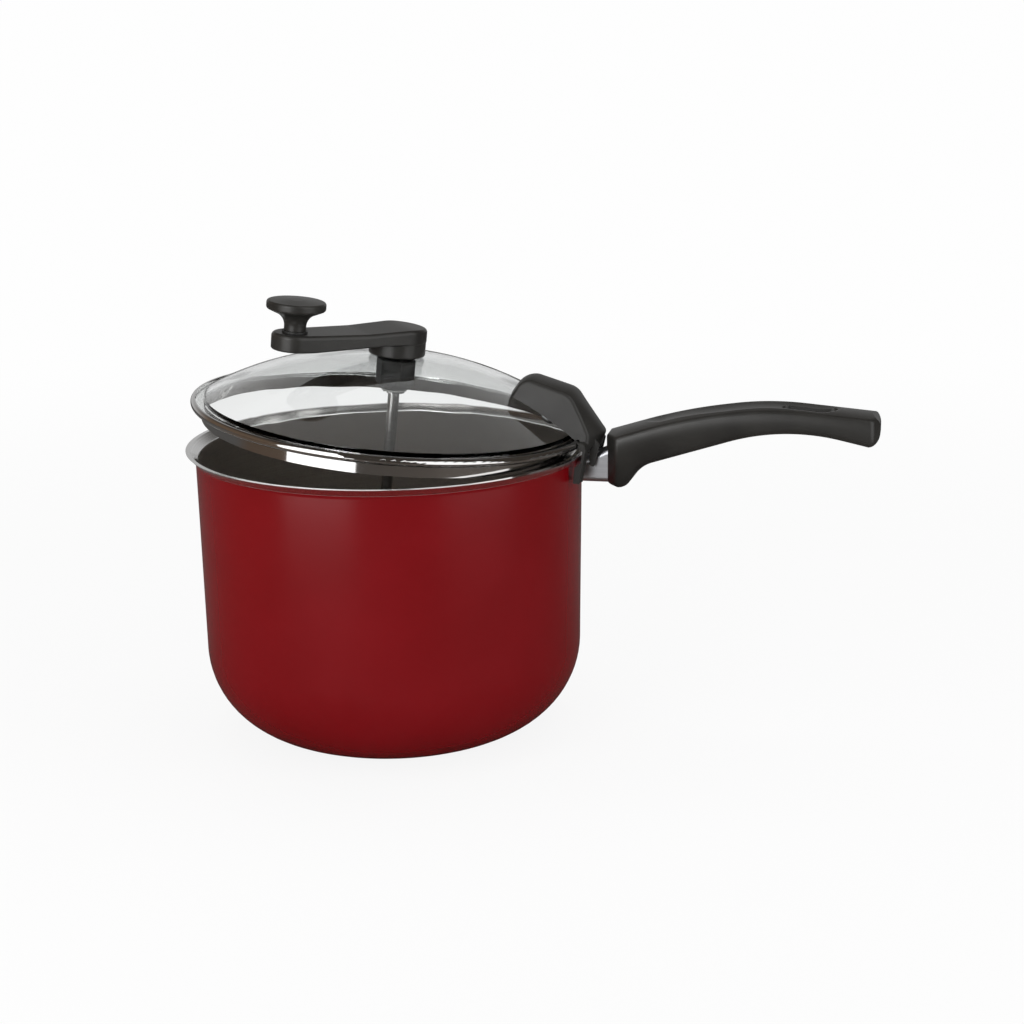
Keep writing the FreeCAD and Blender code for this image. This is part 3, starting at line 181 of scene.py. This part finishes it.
floor_paint = bpy.data.materials.new("floor_paint")
floor_paint.use_nodes = True
tree = floor_paint.node_tree
seen, mirrored = ray_masks(tree)
spot = add_node(tree, "TexCoord").outputs["Object"]
spot_x, _, _ = axes(tree, spot)
behind = ramp(tree, vector_node(tree, "DOT_PRODUCT", spot, past_popper), low=-0.05, high=0.3)
leftward = falling_ramp(tree, spot_x, high=-0.15, low=-0.5)
reflected = blend_colors(tree, leftward, floor_dark, floor_brown)
reflected = blend_colors(tree, behind, reflected, floor_pale)
shader = tree.nodes["Principled BSDF"]
feed(tree, shader.inputs["Base Color"], blend_colors(tree, mirrored, floor_color, reflected))
shader.inputs["Roughness"].default_value = 0.9
shader.inputs["Specular IOR Level"].default_value = 0.1
# The floor glows to the room's white, less so near the popper, where it has to keep a shadow.
far = ramp(tree, vector_node(tree, "LENGTH", spot), low=0.2, high=1.2)
glow = math_node(tree, "MULTIPLY_ADD", far, far_glow - near_glow, near_glow)
glow = math_node(tree, "MULTIPLY", seen, glow)
light = add_node(tree, "Emission", {"Color": room_white})
surface = add_node(tree, "MixShader", {0: glow, 1: shader.outputs[0], 2: light.outputs[0]})
feed(tree, tree.nodes["Material Output"].inputs["Surface"], surface.outputs[0])
floor_mesh.materials.append(floor_paint)

# ---------------------------------------------------------------------------------------------
# Pot
# Spun aluminium with a rolled lip. The outside is satin red lacquer, the lip is left bare and
# polished, the inside has a dark non-stick lining, and the base is bare turned metal.
# ---------------------------------------------------------------------------------------------

lacquer_foot, lacquer_top = 0.0022, 0.1508
base_top, lip_foot = 0.0016, 0.1511
# Each finish keeps its roughness on one side of 0.27, where the denoiser would draw an outline.
lacquer_dull, lining_dull, lip_dull, base_dull = 0.22, 0.48, 0.09, 0.28
smear_dull, line_dull = 0.04, 0.06  # what smears and turned lines add to those
line_share = 0.35  # how much of the turned lines shows through the lining


def begin(name, metallic=0.0):
    """Start a material; returns it with its node tree and its Principled shader."""
    material = bpy.data.materials.new(name)
    material.use_nodes = True
    shader = material.node_tree.nodes["Principled BSDF"]
    shader.inputs["Metallic"].default_value = metallic
    return material, material.node_tree, shader


def dress(material, *nodes):
    """Give CAD nodes their material."""
    for name in nodes:
        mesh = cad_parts[name].data
        mesh.materials.clear()
        mesh.materials.append(material)


def new_group(name, scales, results):
    """Start a node group of a Vector and scales; returns it, what it is given and its results."""
    tree = bpy.data.node_groups.new(name, "ShaderNodeTree")
    tree.interface.new_socket("Vector", in_out="INPUT", socket_type="NodeSocketVector")
    for label in scales:
        tree.interface.new_socket(label, in_out="INPUT", socket_type="NodeSocketFloat")
    for label in results:
        tree.interface.new_socket(label, in_out="OUTPUT", socket_type="NodeSocketFloat")
    return tree, tree.nodes.new("NodeGroupInput").outputs, tree.nodes.new("NodeGroupOutput").inputs


def use_group(tree, group, vector, **scales):
    """Place a group in a material, with its own scales; returns its results."""
    node = add_node(tree, "Group", node_tree=group)
    feed(tree, node.inputs["Vector"], vector)
    for label, value in scales.items():
        feed(tree, node.inputs[label.replace("_", " ")], value)
    return node.outputs


def noise(tree, vector, scale, detail, rough=0.5, kind="3D"):
    """The value of a Noise Texture."""
    inputs = {"Vector": vector, "Scale": scale, "Detail": detail, "Roughness": rough}
    return add_node(tree, "TexNoise", inputs, noise_dimensions=kind).outputs["Fac"]


def blend_numbers(tree, mask, low, high):
    """The number low where the mask is 0, passing to high where it is 1."""
    # inputs 2 and 3 and output 0 are the Mix node's numbers
    return add_node(tree, "Mix", {0: mask, 2: low, 3: high}, data_type="FLOAT").outputs[0]


def relief(tree, shader, height, strength, depth):
    """Raise a height pattern on the surface; depth is in metres."""
    bump = add_node(tree, "Bump", {"Strength": strength, "Distance": depth, "Height": height})
    feed(tree, shader.inputs["Normal"], bump.outputs[0])


# Fine even grain: the skin of a moulding or a lacquer, with a broad drift of tone over it.
coarse_step, coarse_share = 0.31, 0.5
grain, given, result = new_group("fine_grain", ("Scale", "Drift Scale"),
                                 ("Height", "Tone", "Drift"))
coarse_scale = math_node(grain, "MULTIPLY", given["Scale"], coarse_step)
fine = noise(grain, given["Vector"], given["Scale"], detail=2)
coarse = noise(grain, given["Vector"], coarse_scale, detail=1)
drift = noise(grain, given["Vector"], given["Drift Scale"], detail=3)
feed(grain, result["Height"], math_node(grain, "MULTIPLY_ADD", coarse, coarse_share, fine))
feed(grain, result["Tone"], ramp(grain, fine, low=0.35, high=0.65))
feed(grain, result["Drift"], ramp(grain, drift, low=0.3, high=0.7))

# Lines left by turning or polishing on a lathe: they change along the axis and the radius only.
turned, given, result = new_group("turned_lines", ("Lines",), ("Height", "Tone"))
x, y, along = axes(turned, given["Vector"])
squares = math_node(turned, "MULTIPLY_ADD", y, y, math_node(turned, "MULTIPLY", x, x))
radius = math_node(turned, "SQRT", squares)
section = add_node(turned, "CombineXYZ", {"X": radius, "Y": along}).outputs[0]
lines = noise(turned, section, given["Lines"], detail=3, rough=0.6, kind="2D")
feed(turned, result["Height"], lines)
feed(turned, result["Tone"], ramp(turned, lines, low=0.3, high=0.7))

# The faint smears that hands leave on anything that shines, bent by a slower pattern.
bend_scale, bend_reach = 9, (0.05, 0.05, 0.05)
smears, given, result = new_group("handling", ("Scale",), ("Smear",))
bend_inputs = {"Vector": given["Vector"], "Scale": bend_scale}
bend = add_node(smears, "TexNoise", bend_inputs).outputs["Color"]
bent = vector_node(smears, "MULTIPLY_ADD", bend, bend_reach, given["Vector"])
smear = noise(smears, bent, given["Scale"], detail=5, rough=0.62)
feed(smears, result["Smear"], ramp(smears, smear, low=0.52, high=0.72))

# The outside of the pot faces away from its axis or down, and the inside to its axis or up.
pot_finish, tree, shader = begin("pot_finish")
coordinates = add_node(tree, "TexCoord").outputs
x, y, height = axes(tree, coordinates["Object"])
outward = vector_node(tree, "NORMALIZE", add_node(tree, "CombineXYZ", {"X": x, "Y": y}).outputs[0])
outside = vector_node(tree, "SUBTRACT", outward, (0, 0, 1))
facing = vector_node(tree, "DOT_PRODUCT", coordinates["Normal"], outside)
inside = falling_ramp(tree, facing, high=0.05, low=-0.05)
lip = ramp(tree, height, low=lacquer_top, high=lip_foot)
low = falling_ramp(tree, height, high=lacquer_foot, low=base_top)
base = math_node(tree, "MULTIPLY", low, math_node(tree, "SUBTRACT", 1, inside))
bare = math_node(tree, "MAXIMUM", lip, base)

skin = use_group(tree, grain, coordinates["Object"], Scale=1900, Drift_Scale=20)
spun = use_group(tree, turned, coordinates["Object"], Lines=1600)
touch = use_group(tree, smears, coordinates["Object"], Scale=14)
lacquer = blend_colors(tree, skin["Drift"], (0.158, 0.0012, 0.0032), (0.172, 0.002, 0.0045))
lining = blend_colors(tree, skin["Tone"], (0.08, 0.067, 0.055), (0.115, 0.097, 0.08))
shown_lines = math_node(tree, "MULTIPLY", spun["Tone"], line_share)
lining = blend_colors(tree, shown_lines, lining, (0.14, 0.122, 0.104))
paint = blend_colors(tree, inside, lacquer, lining)
metal = blend_colors(tree, spun["Tone"], (0.74, 0.735, 0.73), (0.84, 0.835, 0.83))
feed(tree, shader.inputs["Base Color"], blend_colors(tree, bare, paint, metal))
dull = blend_numbers(tree, inside, lacquer_dull, lining_dull)
dull = math_node(tree, "MULTIPLY_ADD", touch["Smear"], smear_dull, dull)
polish = blend_numbers(tree, base, lip_dull, base_dull)
polish = math_node(tree, "MULTIPLY_ADD", spun["Tone"], line_dull, polish)
feed(tree, shader.inputs["Roughness"], blend_numbers(tree, bare, dull, polish))
feed(tree, shader.inputs["Metallic"], bare)
shader.inputs["Specular IOR Level"].default_value = 0.4
texture = blend_numbers(tree, bare, skin["Height"], spun["Height"])
relief(tree, shader, texture, strength=0.08, depth=0.00004)
dress(pot_finish, "pot_body")

# ---------------------------------------------------------------------------------------------
# Sleeve and screws
# The sleeve between pot and handle is bright drawn steel sheet. The bracket inside it is cast
# aluminium, and the screws, their washers and the knob's spindle are zinc-plated.
# ---------------------------------------------------------------------------------------------


def placed(tree, origin=(0, 0, 0), turn=(0, 0, 0)):
    """Object coordinates measured from an origin and turned square to a piece."""
    place = add_node(tree, "TexCoord").outputs["Object"]
    inputs = {"Vector": place, "Location": origin, "Rotation": turn}
    return add_node(tree, "Mapping", inputs, vector_type="TEXTURE").outputs[0]


def color_by(tree, shader, mask, low, high):
    """Colour that passes with a mask from low to high."""
    feed(tree, shader.inputs["Base Color"], blend_colors(tree, mask, low, high))


def dull_by(tree, shader, mask, least, spread, smear=None, marks=0.0):
    """Roughness that rises by spread with a mask, and by marks where hands have smeared."""
    roughness = math_node(tree, "MULTIPLY_ADD", mask, spread, least)
    if smear is not None:
        roughness = math_node(tree, "MULTIPLY_ADD", smear, marks, roughness)
    feed(tree, shader.inputs["Roughness"], roughness)


# Straight lines along X, as drawing leaves them.
line_stretch = (0.02, 1, 1)
drawn, given, result = new_group("drawn_lines", ("Lines",), ("Height", "Tone"))
stretched = vector_node(drawn, "MULTIPLY", given["Vector"], line_stretch)
streak = noise(drawn, stretched, given["Lines"], detail=3, rough=0.6)
feed(drawn, result["Height"], streak)
feed(drawn, result["Tone"], ramp(drawn, streak, low=0.3, high=0.7))

guard_steel, tree, shader = begin("guard_steel", metallic=1.0)
here = placed(tree)
sheen = use_group(tree, drawn, here, Lines=2600)
touch = use_group(tree, smears, here, Scale=60)
color_by(tree, shader, sheen["Tone"], low=(0.6, 0.62, 0.655), high=(0.66, 0.68, 0.715))
dull_by(tree, shader, sheen["Tone"], least=0.36, spread=0.04,
        smear=touch["Smear"], marks=0.04)
relief(tree, shader, sheen["Height"], strength=0.02, depth=0.00004)
dress(guard_steel, "flame_guard")

cast_aluminium, tree, shader = begin("cast_aluminium", metallic=1.0)
cast = use_group(tree, grain, placed(tree), Scale=1100, Drift_Scale=120)
color_by(tree, shader, cast["Drift"], low=(0.48, 0.48, 0.48), high=(0.6, 0.6, 0.59))
dull_by(tree, shader, cast["Tone"], least=0.42, spread=0.15)
relief(tree, shader, cast["Height"], strength=0.5, depth=0.00012)
dress(cast_aluminium, "handle_stud")

zinc_steel, tree, shader = begin("zinc_steel", metallic=1.0)
plating = use_group(tree, grain, placed(tree), Scale=3000, Drift_Scale=260)
color_by(tree, shader, plating["Drift"], low=(0.48, 0.49, 0.52), high=(0.58, 0.585, 0.6))
dull_by(tree, shader, plating["Drift"], least=0.28, spread=0.1)
relief(tree, shader, plating["Height"], strength=0.1, depth=0.00004)
dress(zinc_steel, "handle_screw", "lock_washer", "clip_screw", "clip_washer", "knob_spindle")

# ---------------------------------------------------------------------------------------------
# Handle, lid clip, crank arm and knob
# Black heat-proof mouldings. The mould's blasted steel leaves them a fine satin skin, which hands
# have begun to polish where they are gripped.
# ---------------------------------------------------------------------------------------------

skin_depth = 0.000012
arch_x, arch_z = 0.205, 0.1725  # the top of the line along the middle of the grip's sides
arch_fall = 2.14  # how that line falls away from its top, per metre
side_bow = -24  # how the sides curve back above and below that line, per metre


def black_moulding(name, dull, crown=None):
    """Black phenolic with its satin skin; crown makes a height that rounds a flat side."""
    material, tree, shader = begin(name)
    here = placed(tree)
    skin = use_group(tree, grain, here, Scale=2600, Drift_Scale=45)
    touch = use_group(tree, smears, here, Scale=26)
    color_by(tree, shader, skin["Drift"],
             low=(0.017, 0.0162, 0.0147), high=(0.025, 0.0238, 0.0215))
    dull_by(tree, shader, skin["Tone"], least=dull, spread=0.05,
            smear=touch["Smear"], marks=-0.05)
    height = math_node(tree, "MULTIPLY", skin["Height"], skin_depth)
    if crown:
        height = math_node(tree, "ADD", height, crown(tree, here))
    relief(tree, shader, height, strength=1.0, depth=1.0)
    return material


def grip_crown(tree, place):
    """Height in metres that bows the grip's sides out along their arched middle line."""
    x, _, z = axes(tree, place)
    along = math_node(tree, "SUBTRACT", x, arch_x)
    fall = math_node(tree, "MULTIPLY", math_node(tree, "MULTIPLY", along, along), arch_fall)
    above = math_node(tree, "SUBTRACT", math_node(tree, "ADD", z, fall), arch_z)
    return math_node(tree, "MULTIPLY", math_node(tree, "MULTIPLY", above, above), side_bow)


dress(black_moulding("grip_moulding", dull=0.34, crown=grip_crown), "handle")
dress(black_moulding("clip_moulding", dull=0.41), "lid_clip")
dress(black_moulding("crank_moulding", dull=0.33), "crank_arm", "crank_knob")

# ---------------------------------------------------------------------------------------------
# Lid
# Clear toughened glass, pressed to a dome and fire-polished, with a hole drilled at its middle. The
# band round its flange is rolled steel, polished to a mirror.
# ---------------------------------------------------------------------------------------------

# The middle of the lid's edge and the tilt at which it stands, which all that it carries share.
lid_middle = (0.001998, 0.0, 0.171096)
lid_tilt = math.radians(5.95)
lid_turn = (0.0, lid_tilt, 0.0)
glass_marks, ripple_scale = 0.035, 26  # roughness of a smear, and waves of the pressed surface

clear_glass, tree, shader = begin("clear_glass")
here = placed(tree, lid_middle, lid_turn)
touch = use_group(tree, smears, here, Scale=22)
color_by(tree, shader, touch["Smear"], low=(0.955, 0.97, 0.966), high=(0.94, 0.953, 0.95))
smeared = math_node(tree, "MULTIPLY", touch["Smear"], glass_marks)
feed(tree, shader.inputs["Roughness"], smeared)
shader.inputs["Transmission Weight"].default_value = 1.0
shader.inputs["IOR"].default_value = 1.5
ripple = noise(tree, here, ripple_scale, detail=1)
relief(tree, shader, ripple, strength=0.12, depth=0.002)
dress(clear_glass, "lid_glass")

band_steel, tree, shader = begin("band_steel", metallic=1.0)
here = placed(tree, lid_middle, lid_turn)
rolled = use_group(tree, turned, here, Lines=2400)
touch = use_group(tree, smears, here, Scale=30)
color_by(tree, shader, rolled["Tone"], low=(0.7, 0.695, 0.685), high=(0.76, 0.755, 0.75))
dull_by(tree, shader, rolled["Tone"], least=0.05, spread=0.03,
        smear=touch["Smear"], marks=0.05)
relief(tree, shader, rolled["Height"], strength=0.05, depth=0.00003)
dress(band_steel, "lid_band")

# ---------------------------------------------------------------------------------------------
# Bushing, pads, washers and inserts
# The bushing, its nut and the knob's washer are turned black nylon, the pads and gaskets rubber,
# the thrust washers a pale slippery plastic, and the threaded inserts turned brass.
# ---------------------------------------------------------------------------------------------

bushing_plastic, tree, shader = begin("bushing_plastic")
cut = use_group(tree, turned, placed(tree, lid_middle, lid_turn), Lines=2600)
color_by(tree, shader, cut["Tone"], low=(0.016, 0.016, 0.016), high=(0.03, 0.03, 0.029))
dull_by(tree, shader, cut["Tone"], least=0.42, spread=0.1)
relief(tree, shader, cut["Height"], strength=0.2, depth=0.00006)
dress(bushing_plastic, "shaft_bushing", "bushing_nut", "knob_washer")

seal_rubber, tree, shader = begin("seal_rubber")
bloom = use_group(tree, grain, placed(tree), Scale=1800, Drift_Scale=150)
color_by(tree, shader, bloom["Drift"], low=(0.012, 0.012, 0.012), high=(0.028, 0.028, 0.027))
dull_by(tree, shader, bloom["Tone"], least=0.65, spread=0.1)
relief(tree, shader, bloom["Height"], strength=0.3, depth=0.00006)
dress(seal_rubber, "clip_pad", "inner_pad", "upper_gasket", "lower_gasket")

washer_plastic, tree, shader = begin("washer_plastic")
cut = use_group(tree, turned, placed(tree, lid_middle, lid_turn), Lines=3200)
color_by(tree, shader, cut["Tone"], low=(0.46, 0.46, 0.44), high=(0.56, 0.56, 0.54))
dull_by(tree, shader, cut["Tone"], least=0.4, spread=0.1)
relief(tree, shader, cut["Height"], strength=0.15, depth=0.00005)
dress(washer_plastic, "thrust_washer", "wear_washer")

insert_brass, tree, shader = begin("insert_brass", metallic=1.0)
cut = use_group(tree, turned, placed(tree, lid_middle, lid_turn), Lines=3600)
color_by(tree, shader, cut["Tone"], low=(0.56, 0.4, 0.17), high=(0.66, 0.49, 0.23))
dull_by(tree, shader, cut["Tone"], least=0.28, spread=0.1)
relief(tree, shader, cut["Height"], strength=0.2, depth=0.00005)
dress(insert_brass, "hub_insert", "knob_insert")

# ---------------------------------------------------------------------------------------------
# Stirrer
# A ground steel shaft, held up in the bushing by a clip in its groove, with a turned hub on its
# foot. Through the hub goes one stainless wire, drawn and then bent to sweep the pot's floor.
# ---------------------------------------------------------------------------------------------

wire_turn = math.radians(44)

stirrer_steel, tree, shader = begin("stirrer_steel", metallic=1.0)
cut = use_group(tree, turned, placed(tree, lid_middle, lid_turn), Lines=2800)
color_by(tree, shader, cut["Tone"], low=(0.54, 0.54, 0.54), high=(0.64, 0.64, 0.63))
dull_by(tree, shader, cut["Tone"], least=0.16, spread=0.1)
relief(tree, shader, cut["Height"], strength=0.12, depth=0.00004)
dress(stirrer_steel, "drive_shaft", "retaining_clip", "stirrer_hub")

wire_steel, tree, shader = begin("wire_steel", metallic=1.0)
pulled = use_group(tree, drawn, placed(tree, lid_middle, (0.0, lid_tilt, wire_turn)), Lines=3000)
color_by(tree, shader, pulled["Tone"], low=(0.52, 0.52, 0.53), high=(0.63, 0.63, 0.63))
dull_by(tree, shader, pulled["Tone"], least=0.16, spread=0.1)
relief(tree, shader, pulled["Height"], strength=0.15, depth=0.00004)
dress(wire_steel, "stirrer_wire")
